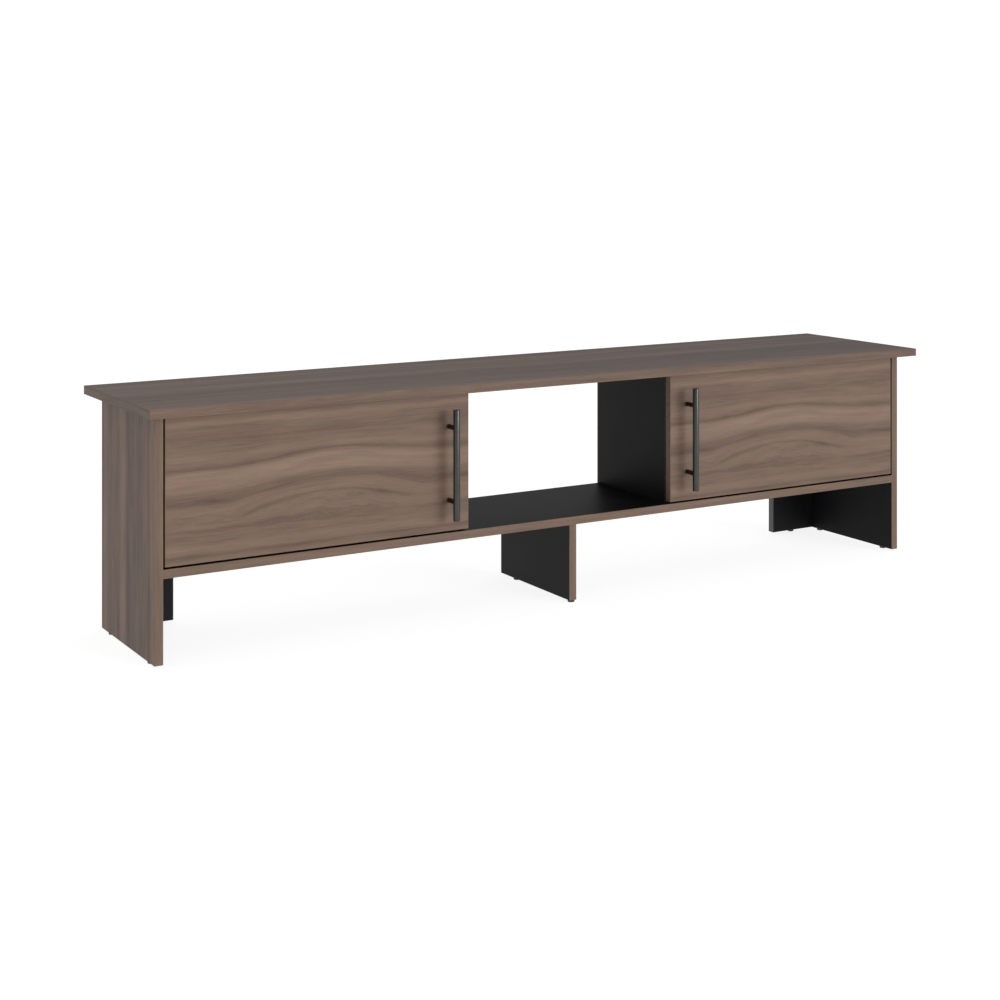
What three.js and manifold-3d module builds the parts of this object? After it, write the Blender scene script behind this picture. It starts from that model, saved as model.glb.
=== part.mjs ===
// Low TV stand: a long top board on two side panels that reach the floor, one bottom panel that is also the
// shelf of the open middle bay, a cabinet with an inset door at each end, and leg boards underneath.
// Millimetres, +X right, -Y front, +Z up. The origin is on the floor, under the middle of the top panel.
import * as THREE from "three";
import { mergeVertices } from "three/addons/utils/BufferGeometryUtils.js";
import Module from "manifold-3d";

const wasm = await Module();
wasm.setup();

// Driving dimensions
const BOARD = 15;
const CASE_WIDTH = 1620;
const SIDE_DEPTH = 268;
const SIDE_HEIGHT = 406;
const TOP_WIDTH = 1660;
const TOP_DEPTH = 342;
const TOP_FRONT_OVERHANG = 35;
const BOTTOM_UNDERSIDE = 140;
const CARCASS_DEPTH = 248;
const PARTITION_SETBACK = 17;
const BACK_THICKNESS = 3;
const REAR_LEG_WIDTH = 110;
const REAR_LEG_HEIGHT = 200;

const DOOR_WIDTH = 568.5;
const DOOR_SIDE_GAP = 3;
const DOOR_TOP_GAP = 2.5;
const DOOR_BOTTOM_GAP = 3.5;

const HANDLE_RADIUS = 6;
const HANDLE_LENGTH = 197;
const HANDLE_CENTRES = 131;
const HANDLE_BELOW_DOOR_MIDDLE = 2;
const HANDLE_REACH = 28;
const HANDLE_INSET = 40;
const POST_RADIUS = 4.5;
const SCREW_RADIUS = 2;
const SCREW_HEAD_RADIUS = 4;
const SCREW_HEAD_HEIGHT = 2.2;
const SCREW_LENGTH = 25;

const FOOT_RADIUS = 6.5;
const FOOT_HEIGHT = 4;
const FOOT_NAIL_LENGTH = 14;
const FOOT_NAIL_RADIUS = 1;
const SIDE_FOOT_FROM_EDGE = 35;
const CENTRE_FEET_FROM_FRONT = [6.5, 200];

const HINGE_FROM_DOOR_END = 60;
const CUP_RADIUS = 17.5;
const CUP_DEPTH = 11.5;
const CUP_FROM_EDGE = 23.5;
const CUP_WALL = 1;
const FLANGE = 0.8;
const CUP_WING_HALF_WIDTH = 9;
const CUP_WING_HALF_LENGTH = 31;
const CUP_WING_CORNER = 6;

// Mounting plate and arm of a hinge. U is measured from the door's hinge edge, towards the cabinet's inside, V
// from the door's front face and Z from the hinge's middle.
const RAIL_FACE = 6.5;
const RAIL_SPAN = [38, 82];
const RAIL_HALF_HEIGHT = 5;
const WING_FACE = -1;
const WING_SPAN = [46, 58];
const WING_HALF_HEIGHT = 26;
const ARM_EDGE = 1;
const ARM_WEB = 9;
const ARM_SHEET = 1.2;
const ARM_SPAN = [30, 86];
const ARM_HALF_HEIGHT = 7.1;
const CHEEK_RADIUS = 2.4;

const CAM_RADIUS = 7.5;
const CAM_DEPTH = 12;
const CAM_FROM_END = 24;
const CAM_BOLT_RADIUS = 3;
const CAM_BOLT_REACH = 10;
const CAM_SLOT_LENGTH = 10;
const CAM_SLOT_WIDTH = 1.8;
const CAM_SETBACKS = [50, 200];

const BUMPER_RADIUS = 4;
const BUMPER_HEIGHT = 1.6;
const BUMPERS_FROM_DOOR_END = 32;

// Clearance between a piece and the bore that it sits in
const GAP = 0.3;

// Places that follow from the dimensions. X is measured from the middle, Y from the case's front plane and Z
// from the side panels' bottom edges. Everything but the top is symmetric about X = 0.
const HALF = CASE_WIDTH / 2;
const INNER = HALF - BOARD;
const SHELF = BOTTOM_UNDERSIDE + BOARD;
const HINGE_EDGE = INNER - DOOR_SIDE_GAP;
const BAY_HALF = HINGE_EDGE - DOOR_WIDTH;
const DOOR_BOTTOM = SHELF + DOOR_BOTTOM_GAP;
const DOOR_TOP = SIDE_HEIGHT - DOOR_TOP_GAP;
const DOOR_MIDDLE = (DOOR_BOTTOM + DOOR_TOP) / 2;
const HANDLE_X = BAY_HALF + HANDLE_INSET;
const HANDLE_MIDDLE = DOOR_MIDDLE - HANDLE_BELOW_DOOR_MIDDLE;
const BACK_FACE = CARCASS_DEPTH + BACK_THICKNESS;
const TOP_MIDDLE_Y = TOP_DEPTH / 2 - TOP_FRONT_OVERHANG;

// The hinge link's pivot, measured from the door's hinge edge and from its front face, and the link's
// centre line from that pivot when the door is shut
const LINK_PIVOT = [5.7, 18.6];
const LINK_LINE = [[0, 0], [5.5, 2.2], [21.3, 4.6], [32.4, -2.1], [32.6, -9.4]];
const LINK_THICKNESS = 2.2;
const LINK_WIDTH = 9;
const PIN_RADIUS = 1.2;
const EYE_RADIUS = 2.2;

const material = (color, roughness, metalness = 0) =>
  new THREE.MeshStandardMaterial({ color, roughness, metalness });
const walnut = material(0x7c6a5e, 0.55);
const blackBoard = material(0x2a2a2c, 0.5);
const hardboard = material(0x6b4a33, 0.8);
const blackMetal = material(0x2a2a28, 0.4, 0.6);
const steel = material(0xb4b6b8, 0.3, 1);
const plastic = material(0x1c1c1c, 0.6);
const softPad = material(0x8a8a88, 0.9);

const stand = new THREE.Group();
stand.position.set(0, -TOP_MIDDLE_Y, FOOT_HEIGHT);

// ---- Shapes ----

// Turns a three.js geometry into a manifold solid
function solid(geometry) {
  const faces = geometry.index ? geometry.toNonIndexed() : geometry.clone();
  faces.deleteAttribute("normal");
  faces.deleteAttribute("uv");
  const merged = mergeVertices(faces, 1e-4);
  return new wasm.Manifold(new wasm.Mesh({
    numProp: 3,
    vertProperties: merged.attributes.position.array,
    triVerts: new Uint32Array(merged.index.array),
  }));
}

// Adds a solid to the stand as a named mesh
function add(name, shape, look) {
  const mesh = shape.getMesh();
  const geometry = new THREE.BufferGeometry();
  geometry.setAttribute("position", new THREE.BufferAttribute(mesh.vertProperties, 3));
  geometry.setIndex(new THREE.BufferAttribute(mesh.triVerts, 1));
  const faceted = geometry.toNonIndexed();
  faceted.computeVertexNormals();
  const part = new THREE.Mesh(faceted, look);
  part.name = name;
  stand.add(part);
}

// A box between two limits on each axis, given in either order
function box([xa, xb], [ya, yb], [za, zb]) {
  const shape = new THREE.BoxGeometry(Math.abs(xb - xa), Math.abs(yb - ya), Math.abs(zb - za));
  return solid(shape.translate((xa + xb) / 2, (ya + yb) / 2, (za + zb) / 2));
}

// A solid of revolution from a profile of [radius, height] points, with height running along direction
function turned(profile, base, direction, segments) {
  const shape = new THREE.LatheGeometry(profile.map(([r, h]) => new THREE.Vector2(r, h)), segments);
  const turn = new THREE.Quaternion().setFromUnitVectors(new THREE.Vector3(0, 1, 0), direction);
  return solid(shape.applyQuaternion(turn).translate(...base));
}

// A cylinder that starts at base and runs along direction
function rod(base, direction, length, radius, segments = 24) {
  return turned([[0, 0], [radius, 0], [radius, length], [0, length]], base, direction, segments);
}

const joined = (shapes) => shapes.reduce((whole, shape) => whole.add(shape));
const cut = (shape, tools) => tools.reduce((left, tool) => left.subtract(tool), shape);

const LEFT = new THREE.Vector3(-1, 0, 0);
const RIGHT = new THREE.Vector3(1, 0, 0);
const FRONT = new THREE.Vector3(0, -1, 0);
const BACK = new THREE.Vector3(0, 1, 0);
const UP = new THREE.Vector3(0, 0, 1);

// ---- Fittings, each returned with the bores that it needs in the boards ----

// Cross slots in the face of a round head, centred on a point of that face
function crossSlots(face, direction, length, width, depth) {
  const across = [RIGHT, BACK, UP].filter((axis) => axis.dot(direction) === 0);
  const arms = across.map((axis, i) => {
    const half = new THREE.Vector3()
      .addScaledVector(axis, length / 2)
      .addScaledVector(across[1 - i], width / 2)
      .addScaledVector(direction, depth);
    return box(...["x", "y", "z"].map((k, j) => [face[j] - half[k], face[j] + half[k]]));
  });
  return joined(arms);
}

// Cam lock with its bolt: the drum fills a blind bore in one board's face, and the bolt leaves that board
// through its end and enters the next one
function camLock(face, inward, boltDirection) {
  const boltStart = new THREE.Vector3(...face).addScaledVector(inward, BOARD / 2).toArray();
  const boltLength = CAM_FROM_END + CAM_BOLT_REACH;
  const slots = crossSlots(face, inward, CAM_SLOT_LENGTH, CAM_SLOT_WIDTH, CAM_SLOT_WIDTH);
  const drum = rod(face, inward, CAM_DEPTH, CAM_RADIUS).subtract(slots);
  return {
    piece: drum.add(rod(boltStart, boltDirection, boltLength, CAM_BOLT_RADIUS, 16)),
    drumBore: rod(face, inward, CAM_DEPTH + GAP, CAM_RADIUS + GAP),
    boltBore: rod(boltStart, boltDirection, boltLength + GAP, CAM_BOLT_RADIUS + GAP, 16),
  };
}

// Glide nailed into a board's bottom edge
function foot(x, y) {
  const chamfer = 0.8;
  const tip = 2;
  const profile = [
    [0, -FOOT_HEIGHT], [FOOT_RADIUS - chamfer, -FOOT_HEIGHT], [FOOT_RADIUS, chamfer - FOOT_HEIGHT],
    [FOOT_RADIUS, 0], [FOOT_NAIL_RADIUS, 0], [FOOT_NAIL_RADIUS, FOOT_NAIL_LENGTH - tip], [0, FOOT_NAIL_LENGTH],
  ];
  return {
    piece: turned(profile, [x, y, 0], UP, 20),
    bore: rod([x, y, 0], UP, FOOT_NAIL_LENGTH + GAP, FOOT_NAIL_RADIUS + GAP, 12),
  };
}

// Pan-head screw driven from the door's back into a handle post
function handleScrew(x, z) {
  const [r, h] = [SCREW_HEAD_RADIUS, SCREW_HEAD_HEIGHT];
  const head = turned([[0, h], [0.6 * r, h], [0.9 * r, 0.7 * h], [r, 0.2 * h], [r, 0], [0, 0]].reverse(),
    [x, BOARD, z], BACK, 24);
  const recess = crossSlots([x, BOARD + h, z], BACK, r, r / 5, h / 2);
  return {
    piece: head.subtract(recess).add(rod([x, BOARD, z], FRONT, SCREW_LENGTH, SCREW_RADIUS, 16)),
    bore: rod([x, BOARD, z], FRONT, SCREW_LENGTH + 1, SCREW_RADIUS + GAP, 16),
  };
}

// Round bar handle on two posts, whose outer ends are saddled to the bar
function handle(side) {
  const x = side * HANDLE_X;
  const low = HANDLE_MIDDLE - HANDLE_LENGTH / 2;
  const [r, h] = [HANDLE_RADIUS, HANDLE_LENGTH];
  const chamfer = 0.8;
  const profile = [[0, 0], [r - chamfer, 0], [r, chamfer], [r, h - chamfer], [r - chamfer, h], [0, h]];
  const screws = [1, -1].map((end) => handleScrew(x, HANDLE_MIDDLE + (end * HANDLE_CENTRES) / 2));
  const seat = rod([x, -HANDLE_REACH, low], UP, HANDLE_LENGTH, HANDLE_RADIUS + GAP, 32);
  const posts = [1, -1].map((end, i) => {
    const base = [x, 0, HANDLE_MIDDLE + (end * HANDLE_CENTRES) / 2];
    return cut(rod(base, FRONT, HANDLE_REACH - HANDLE_RADIUS / 3, POST_RADIUS), [seat, screws[i].bore]);
  });
  return { bar: turned(profile, [x, -HANDLE_REACH, low], UP, 32), posts, screws };
}

// Points given as [distance from the door's hinge edge, distance behind its front face] become X and Y
const atHinge = (side, [along, behind]) => [side * (HINGE_EDGE - along), behind];

// A flat outline in hinge coordinates, extruded over a height centred on z
function hingePlate(side, points, z, height) {
  const outline = new THREE.Shape(points.map((p) => new THREE.Vector2(...atHinge(side, p))));
  const shape = new THREE.ExtrudeGeometry(outline, { depth: height, bevelEnabled: false });
  return solid(shape.translate(0, 0, z - height / 2));
}

function hingeBox(side, [uA, uB], [vA, vB], [zA, zB]) {
  return box([side * (HINGE_EDGE - uA), side * (HINGE_EDGE - uB)], [vA, vB], [zA, zB]);
}

// Cup pressed into the door's back, with its screw flange
function hingeCup(side, z) {
  const [x] = atHinge(side, [CUP_FROM_EDGE, 0]);
  const floor = BOARD - CUP_DEPTH;
  const inner = CUP_RADIUS - CUP_WALL;
  const rim = CUP_RADIUS + FLANGE;
  const top = CUP_DEPTH + FLANGE;
  const profile = [
    [0, 0], [CUP_RADIUS, 0], [CUP_RADIUS, CUP_DEPTH], [rim, CUP_DEPTH], [rim, top], [inner, top],
    [inner, CUP_WALL], [0, CUP_WALL],
  ];
  const corner = CUP_WING_CORNER;
  const [cornerX, cornerZ] = [CUP_WING_HALF_WIDTH - corner, CUP_WING_HALF_LENGTH - corner];
  const quarter = Math.PI / 2;
  const wings = new THREE.Shape();
  wings.moveTo(-cornerX, -CUP_WING_HALF_LENGTH);
  wings.absarc(cornerX, -cornerZ, corner, -quarter, 0);
  wings.absarc(cornerX, cornerZ, corner, 0, quarter);
  wings.absarc(-cornerX, cornerZ, corner, quarter, 2 * quarter);
  wings.absarc(-cornerX, -cornerZ, corner, 2 * quarter, 3 * quarter);
  const sheet = new THREE.ExtrudeGeometry(wings, { depth: FLANGE, bevelEnabled: false, curveSegments: 5 });
  sheet.rotateX(Math.PI / 2).translate(x, BOARD + FLANGE, z);
  const plate = solid(sheet).subtract(rod([x, floor, z], BACK, 2 * top, (inner + CUP_RADIUS) / 2, 40));
  return {
    piece: turned(profile, [x, floor, z], BACK, 40).add(plate),
    bore: rod([x, BOARD, z], FRONT, CUP_DEPTH + GAP, CUP_RADIUS + GAP, 40),
  };
}

// Mounting plate on the side panel's inner face: a rail with two screw wings
function hingeBase(side, z) {
  const wall = -DOOR_SIDE_GAP;
  const rail = hingeBox(side, [wall, RAIL_FACE], RAIL_SPAN, [z - RAIL_HALF_HEIGHT, z + RAIL_HALF_HEIGHT]);
  const wings = hingeBox(side, [wall, WING_FACE], WING_SPAN, [z - WING_HALF_HEIGHT, z + WING_HALF_HEIGHT]);
  return rail.add(wings);
}

// Arm: a channel over the rail, with two cheeks that carry the link's riveted pin at their tips
function hingeArm(side, z) {
  const [u, v] = LINK_PIVOT;
  const [x, y] = atHinge(side, LINK_PIVOT);
  const [front, back] = ARM_SPAN;
  const outer = ARM_HALF_HEIGHT;
  const inner = outer - ARM_SHEET;
  const crown = ARM_WEB + ARM_SHEET;
  const channel = hingeBox(side, [ARM_EDGE, crown], ARM_SPAN, [z - outer, z + outer])
    .subtract(hingeBox(side, [0, ARM_WEB], [front - 1, back + 1], [z - inner, z + inner]));
  const outline = [[u - CHEEK_RADIUS, v], [u + CHEEK_RADIUS, v], [crown, front + 1], [ARM_EDGE, front + 1]];
  const cheeks = [-1, 1].flatMap((up) => {
    const middle = z + (up * (outer + inner)) / 2;
    return [
      rod([x, y, middle - ARM_SHEET / 2], UP, ARM_SHEET, CHEEK_RADIUS, 20),
      hingePlate(side, outline, middle, ARM_SHEET),
    ];
  });
  const pin = rod([x, y, z - outer], UP, 2 * outer, PIN_RADIUS, 16);
  return joined([channel, ...cheeks, pin]);
}

// Bent link from the arm's pin into the cup, as a strip of constant thickness along its centre line
function hingeLink(side, z) {
  const line = LINK_LINE.map(([u, v]) => new THREE.Vector2(u + LINK_PIVOT[0], v + LINK_PIVOT[1]));
  const half = LINK_THICKNESS / 2;
  const normals = line.map((point, i) => {
    const before = line[Math.max(i - 1, 0)];
    const after = line[Math.min(i + 1, line.length - 1)];
    const along = after.clone().sub(before).normalize();
    return new THREE.Vector2(-along.y, along.x).multiplyScalar(half);
  });
  const near = line.map((point, i) => point.clone().add(normals[i]).toArray());
  const far = line.map((point, i) => point.clone().sub(normals[i]).toArray()).reverse();
  const strip = hingePlate(side, [...near, ...far], z, LINK_WIDTH);
  const [x, y] = atHinge(side, LINK_PIVOT);
  const eye = rod([x, y, z - LINK_WIDTH / 2], UP, LINK_WIDTH, EYE_RADIUS, 20);
  return strip.add(eye).subtract(rod([x, y, z - LINK_WIDTH], UP, 2 * LINK_WIDTH, PIN_RADIUS + GAP, 16));
}

// Soft pad on the partition's front edge that the shut door rests against
function doorBumper(side, z) {
  const [r, h] = [BUMPER_RADIUS, BUMPER_HEIGHT];
  const chamfer = 0.5;
  const profile = [[0, 0], [r, 0], [r, h - chamfer], [r - chamfer, h], [0, h]];
  return turned(profile, [side * (BAY_HALF + BOARD / 2), PARTITION_SETBACK, z], FRONT, 20);
}

// ---- Assembly ----

const SIDES = [["left", -1], ["right", 1]];
const topBores = [];
const bottomBores = [];

for (const [name, side] of SIDES) {
  const outward = side < 0 ? LEFT : RIGHT;

  // Side panel, its feet and the cam locks that join it to the top and to the bottom panel
  const panelBores = [];
  const footPlaces = [["front", SIDE_FOOT_FROM_EDGE], ["back", SIDE_DEPTH - SIDE_FOOT_FROM_EDGE]];
  for (const [end, y] of footPlaces) {
    const { piece, bore } = foot(side * (HALF - BOARD / 2), y);
    add(`${name}_side_foot_${end}`, piece, plastic);
    panelBores.push(bore);
  }
  for (const [i, end] of ["front", "back"].entries()) {
    const y = CAM_SETBACKS[i];
    const upper = camLock([side * INNER, y, SIDE_HEIGHT - CAM_FROM_END], outward, UP);
    add(`${name}_top_cam_lock_${end}`, upper.piece, steel);
    panelBores.push(upper.drumBore, upper.boltBore);
    topBores.push(upper.boltBore);
    const lower = camLock([side * (INNER - CAM_FROM_END), y, BOTTOM_UNDERSIDE], UP, outward);
    add(`${name}_bottom_cam_lock_${end}`, lower.piece, steel);
    bottomBores.push(lower.drumBore, lower.boltBore);
    panelBores.push(lower.boltBore);
  }
  const panel = box([side * INNER, side * HALF], [0, SIDE_DEPTH], [0, SIDE_HEIGHT]);
  add(`${name}_side_panel`, cut(panel, panelBores), walnut);

  // Partition and hardboard back of the cabinet
  add(`${name}_partition`, box([side * BAY_HALF, side * (BAY_HALF + BOARD)],
    [PARTITION_SETBACK, CARCASS_DEPTH], [SHELF, SIDE_HEIGHT]), blackBoard);
  add(`${name}_back_panel`, box([side * BAY_HALF, side * INNER],
    [CARCASS_DEPTH, BACK_FACE], [BOTTOM_UNDERSIDE, SIDE_HEIGHT]), hardboard);

  // Rear leg board behind the back panel
  const legX = INNER - REAR_LEG_WIDTH / 2;
  const legFoot = foot(side * legX, BACK_FACE + BOARD / 2);
  add(`${name}_rear_leg_foot`, legFoot.piece, plastic);
  const leg = box([side * (INNER - REAR_LEG_WIDTH), side * INNER], [BACK_FACE, BACK_FACE + BOARD],
    [0, REAR_LEG_HEIGHT]);
  add(`${name}_rear_leg`, cut(leg, [legFoot.bore]), blackBoard);

  // Door with its handle, hinges and bumpers
  const doorBores = [];
  const { bar, posts, screws } = handle(side);
  add(`${name}_handle_bar`, bar, blackMetal);
  for (const [i, end] of ["upper", "lower"].entries()) {
    add(`${name}_handle_post_${end}`, posts[i], blackMetal);
    add(`${name}_handle_screw_${end}`, screws[i].piece, steel);
    doorBores.push(screws[i].bore);
  }
  for (const [end, z, inwards] of [["upper", DOOR_TOP, -1], ["lower", DOOR_BOTTOM, 1]]) {
    const hingeZ = z + inwards * HINGE_FROM_DOOR_END;
    const cup = hingeCup(side, hingeZ);
    add(`${name}_hinge_cup_${end}`, cup.piece, steel);
    doorBores.push(cup.bore);
    add(`${name}_hinge_base_${end}`, hingeBase(side, hingeZ), steel);
    add(`${name}_hinge_arm_${end}`, hingeArm(side, hingeZ), steel);
    add(`${name}_hinge_link_${end}`, hingeLink(side, hingeZ), steel);
    add(`${name}_door_bumper_${end}`, doorBumper(side, z + inwards * BUMPERS_FROM_DOOR_END), softPad);
  }
  const door = box([side * BAY_HALF, side * HINGE_EDGE], [0, BOARD], [DOOR_BOTTOM, DOOR_TOP]);
  add(`${name}_door`, cut(door, doorBores), walnut);
}

// Centre leg with its two feet
const centreBores = [];
for (const [i, end] of ["front", "back"].entries()) {
  const { piece, bore } = foot(0, CENTRE_FEET_FROM_FRONT[i]);
  add(`centre_leg_foot_${end}`, piece, plastic);
  centreBores.push(bore);
}
const centreLeg = box([-BOARD / 2, BOARD / 2], [0, CARCASS_DEPTH], [0, BOTTOM_UNDERSIDE]);
add("centre_leg", cut(centreLeg, centreBores), blackBoard);

// Bottom panel and top panel
const bottom = box([-INNER, INNER], [0, CARCASS_DEPTH], [BOTTOM_UNDERSIDE, SHELF]);
add("bottom_panel", cut(bottom, bottomBores), blackBoard);
const top = box([-TOP_WIDTH / 2, TOP_WIDTH / 2], [-TOP_FRONT_OVERHANG, TOP_DEPTH - TOP_FRONT_OVERHANG],
  [SIDE_HEIGHT, SIDE_HEIGHT + BOARD]);
add("top_panel", cut(top, topBores), walnut);

export default stand;
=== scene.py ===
"""A low TV stand in walnut-grained and black board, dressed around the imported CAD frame.

Everything is in metres in the frame's own axes: +X right, -Y front, +Z up. Detail sizes are written in
millimetres times MM, and places come from the CAD nodes' boxes.
"""

import math

import bmesh
import bpy
from mathutils import Matrix, Vector


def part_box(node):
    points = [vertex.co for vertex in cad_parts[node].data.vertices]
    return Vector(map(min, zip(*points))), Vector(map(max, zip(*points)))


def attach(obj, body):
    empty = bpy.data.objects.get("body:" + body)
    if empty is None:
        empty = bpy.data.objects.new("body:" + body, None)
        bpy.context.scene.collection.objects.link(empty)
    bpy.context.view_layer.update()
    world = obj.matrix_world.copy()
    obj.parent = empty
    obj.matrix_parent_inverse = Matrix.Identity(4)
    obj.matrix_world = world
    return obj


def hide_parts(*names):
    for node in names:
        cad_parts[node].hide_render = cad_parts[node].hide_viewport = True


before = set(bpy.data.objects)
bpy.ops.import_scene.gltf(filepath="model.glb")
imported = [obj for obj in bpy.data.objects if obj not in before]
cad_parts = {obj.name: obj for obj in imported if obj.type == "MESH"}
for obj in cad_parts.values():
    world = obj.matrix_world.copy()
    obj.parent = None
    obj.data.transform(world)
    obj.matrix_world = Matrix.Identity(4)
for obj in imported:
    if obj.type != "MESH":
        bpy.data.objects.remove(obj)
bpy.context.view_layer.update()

MM = 0.001
SIDES = (("left", -1), ("right", 1))
ENDS = ("upper", "lower")

BAND = 0.6 * MM            # thickness of the edge banding
BAND_ROUND = 0.22 * MM     # rounding of the banding's edges
CORE_ROUND = 0.1 * MM      # rounding of the boards' own edges, which leaves a fine seam at the banding

X, Y, Z = Vector((1, 0, 0)), Vector((0, 1, 0)), Vector((0, 0, 1))


# ---- Camera, light and floor ----

def make_camera():
    """The photograph's viewpoint, from a level camera, so that upright edges stay upright.

    Its shift frames the stand.
    """
    data = bpy.data.cameras.new("camera")
    data.sensor_width = 36
    data.lens = 63.267
    data.shift_y = -0.3572
    data.clip_end = 100
    camera = bpy.data.objects.new("camera", data)
    camera.location = (-1.7881, -2.8694, 0.8533)
    camera.rotation_euler = (math.radians(90), 0, math.radians(-30.814))
    bpy.context.scene.collection.objects.link(camera)
    bpy.context.scene.camera = camera


def emission_material(name, colour, strength):
    material = bpy.data.materials.new(name)
    material.use_nodes = True
    shader = material.node_tree.nodes["Principled BSDF"]
    shader.inputs["Base Color"].default_value = (*colour, 1)
    shader.inputs["Roughness"].default_value = 1
    shader.inputs["Specular IOR Level"].default_value = 0
    shader.inputs["Emission Color"].default_value = (1, 1, 1, 1)
    shader.inputs["Emission Strength"].default_value = strength
    return material


def make_stage():
    """A white floor, a white surround that only the camera sees, dim sky and one broad lamp."""
    scene = bpy.context.scene
    scene.view_settings.view_transform = "Standard"
    world = bpy.data.worlds.new("studio")
    world.use_nodes = True
    background = world.node_tree.nodes["Background"]
    background.inputs["Color"].default_value = (1, 1, 1, 1)
    background.inputs["Strength"].default_value = 0.46
    scene.world = world

    reach = 30
    bm = bmesh.new()
    bmesh.ops.create_circle(bm, cap_ends=True, radius=reach, segments=64)
    floor = new_object("floor", bm, [emission_material("floor_white", (0.35, 0.35, 0.35), 0.87)])
    bm = bmesh.new()
    bmesh.ops.create_uvsphere(bm, u_segments=48, v_segments=24, radius=reach)
    surround = new_object("surround", bm, [emission_material("surround_white", (0, 0, 0), 1.2)])
    surround.visible_diffuse = False
    surround.visible_glossy = False
    surround.visible_transmission = False
    surround.visible_shadow = False

    lamp = bpy.data.lights.new("key", "SUN")
    lamp.angle = math.radians(36)
    lamp.energy = 2.5
    key = bpy.data.objects.new("key", lamp)
    bearing, rise = math.radians(27), 0.07
    away = Vector((math.sin(bearing), -math.cos(bearing), rise))
    key.rotation_euler = (-away).to_track_quat("-Z", "Y").to_euler()
    scene.collection.objects.link(key)


def new_object(name, bm, looks=()):
    """Turns a bmesh into an object in the scene, and uses it up."""
    bmesh.ops.recalc_face_normals(bm, faces=bm.faces[:])
    mesh = bpy.data.meshes.new(name)
    bm.to_mesh(mesh)
    bm.free()
    for look in looks:
        mesh.materials.append(look)
    made = bpy.data.objects.new(name, mesh)
    bpy.context.scene.collection.objects.link(made)
    return made


# ---- Materials ----

class Look:
    """One procedural material. Places are in millimetres from the piece's left, back, top corner."""

    def __init__(self, name, **constants):
        self.material = bpy.data.materials.new(name)
        self.material.use_nodes = True
        self.tree = self.material.node_tree
        self.shader = self.tree.nodes["Principled BSDF"]
        for socket, value in constants.items():
            self.shader.inputs[socket.replace("_", " ")].default_value = value
        coordinates = self.tree.nodes.new("ShaderNodeTexCoord").outputs["Object"]
        self.place = self.vector("MULTIPLY", coordinates, (1 / MM, -1 / MM, -1 / MM))
        axes = self.tree.nodes.new("ShaderNodeSeparateXYZ")
        self.put(axes.inputs[0], self.place)
        self.axis = {"x": axes.outputs[0], "y": axes.outputs[1], "z": axes.outputs[2]}

    def put(self, socket, value):
        if isinstance(value, bpy.types.NodeSocket):
            self.tree.links.new(value, socket)
        else:
            socket.default_value = value

    def node(self, kind, *values, **settings):
        made = self.tree.nodes.new("ShaderNode" + kind)
        for setting, value in settings.items():
            setattr(made, setting, value)
        for socket, value in zip(made.inputs, values):
            self.put(socket, value)
        return made

    def vector(self, operation, a, b):
        return self.node("VectorMath", a, b, operation=operation).outputs[0]

    def math(self, operation, *values):
        return self.node("Math", *values, operation=operation).outputs[0]

    def sum(self, *values):
        total = values[0]
        for value in values[1:]:
            total = self.math("ADD", total, value)
        return total

    def swing(self, noise, size):
        """Noise, which keeps near 0.5, becomes a value that mostly lies between -size and size."""
        return self.math("MULTIPLY_ADD", noise, 4 * size, -2 * size)

    def noise(self, where, lengths, detail=2, roughness=0.5, distortion=0, seed=0):
        """Noise whose features are lengths millimetres long on each axis of where."""
        scaled = self.vector("MULTIPLY", where, tuple(1 / length for length in lengths))
        moved = self.vector("ADD", scaled, (seed * 7.3, seed * 3.1, seed * 11.7))
        made = self.node("TexNoise")
        self.put(made.inputs["Vector"], moved)
        made.inputs["Scale"].default_value = 1
        made.inputs["Detail"].default_value = detail
        made.inputs["Roughness"].default_value = roughness
        made.inputs["Distortion"].default_value = distortion
        return made.outputs["Fac"]

    def ramp(self, factor, stops, interpolation="LINEAR"):
        """Stops are (place, value) or (place, (r, g, b)) pairs."""
        made = self.node("ValToRGB", factor)
        made.color_ramp.interpolation = interpolation
        elements = made.color_ramp.elements
        elements.remove(elements[1])
        for i, (place, value) in enumerate(stops):
            element = elements.new(place) if i else elements[0]
            element.position = place
            element.color = (*value, 1) if isinstance(value, tuple) else (value, value, value, 1)
        return made.outputs["Color"]

    def bump(self, height, strength, distance):
        made = self.node("Bump")
        made.inputs["Strength"].default_value = strength
        made.inputs["Distance"].default_value = distance
        self.put(made.inputs["Height"], height)
        self.put(self.shader.inputs["Normal"], made.outputs["Normal"])


# Base colour at tones 0 (dark figure) and 1 (light figure), and a little past both
TONE_ZERO, TONE_STEP = 0.2, 0.6
TONE_MIDDLE = 0.42    # tone that a board's contrast leaves as it is
WALNUT_TONES = (
    (0.0, (0.068, 0.042, 0.031)),
    (TONE_ZERO, (0.108, 0.068, 0.049)),
    (TONE_ZERO + TONE_STEP / 2, (0.153, 0.100, 0.0724)),
    (TONE_ZERO + TONE_STEP, (0.199, 0.132, 0.095)),
    (1.0, (0.238, 0.160, 0.116)),
)

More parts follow.
